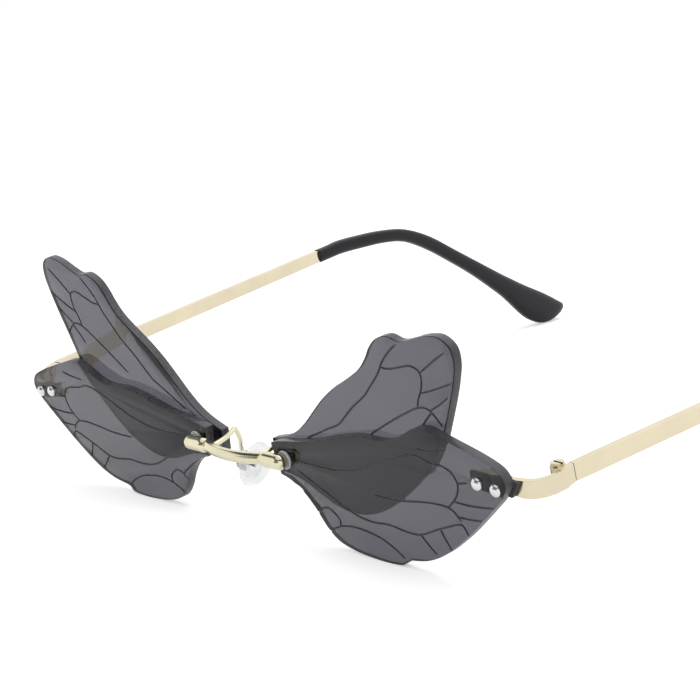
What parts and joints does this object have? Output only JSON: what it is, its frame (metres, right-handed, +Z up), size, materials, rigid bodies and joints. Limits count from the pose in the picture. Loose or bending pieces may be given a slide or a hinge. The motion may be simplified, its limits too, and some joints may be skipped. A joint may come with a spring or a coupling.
{
  "type": "sunglasses",
  "caption": "Rimless sunglasses whose tinted lenses are stacked insect wings with engraved veins, on a gilt metal bridge with folding temples and rocking nose pads.",
  "frame": {"origin": "on the surface it rests on, under the middle of its bounding box", "axes": "+X to the wearer's left, +Y back along the temples, +Z up; it rests on its lower wings and temple tips, pitched back as in use on a table"},
  "size_m": [0.1526, 0.1436, 0.0397],
  "materials": {
    "gold_metal": "polished pale gold plating",
    "lower_tint": "polished grey tint",
    "upper_tint": "polished grey-violet tint",
    "clear_nylon": "clear moulded nylon",
    "silicone": "translucent soft silicone",
    "silver_steel": "bright plated steel",
    "black_nylon": "satin black nylon",
    "black_acetate": "polished black sleeve"
  },
  "bodies": {
    "front": {"bridge": "gold_metal", "bridge_washer_left": "clear_nylon", "bridge_washer_right": "clear_nylon", "bridge_nut_left": "black_nylon", "bridge_nut_right": "black_nylon", "upper_wing_left": "upper_tint", "upper_wing_right": "upper_tint", "lower_wing_left": "lower_tint", "lower_wing_right": "lower_tint", "nose_pad_arm_left": "gold_metal", "nose_pad_arm_right": "gold_metal", "nose_pad_screw_left": "silver_steel", "nose_pad_screw_right": "silver_steel", "mount_pad_left": "black_nylon", "mount_pad_right": "black_nylon", "end_piece_left": "gold_metal", "end_piece_right": "gold_metal", "lens_rivets_left": "silver_steel", "lens_rivets_right": "silver_steel", "hinge_screw_left": "gold_metal", "hinge_screw_right": "gold_metal"},
    "left_temple": {"temple_left": "gold_metal", "temple_tip_left": "black_acetate"},
    "right_temple": {"temple_right": "gold_metal", "temple_tip_right": "black_acetate"},
    "left_pad": {"nose_pad_left": "silicone", "nose_pad_core_left": "clear_nylon"},
    "right_pad": {"nose_pad_right": "silicone", "nose_pad_core_right": "clear_nylon"}
  },
  "joints": [
    {"name": "left_temple_fold", "type": "hinge", "parent": "front", "child": "left_temple", "pos_m": [0.06268, -0.06216, 0.0169], "axis": [0, -0.1366, 0.9906], "range_deg": [0, 92]},
    {"name": "right_temple_fold", "type": "hinge", "parent": "front", "child": "right_temple", "pos_m": [-0.06268, -0.06216, 0.0169], "axis": [0, 0.1366, -0.9906], "range_deg": [0, 85]},
    {"name": "left_pad_rock", "type": "hinge", "parent": "front", "child": "left_pad", "pos_m": [0.01181, -0.05946, 0.00713], "axis": [-0.1392, -0.981, -0.1352], "range_deg": [-8, 8]},
    {"name": "right_pad_rock", "type": "hinge", "parent": "front", "child": "right_pad", "pos_m": [-0.01181, -0.05946, 0.00713], "axis": [-0.1392, 0.981, 0.1352], "range_deg": [-8, 8]}
  ]
}
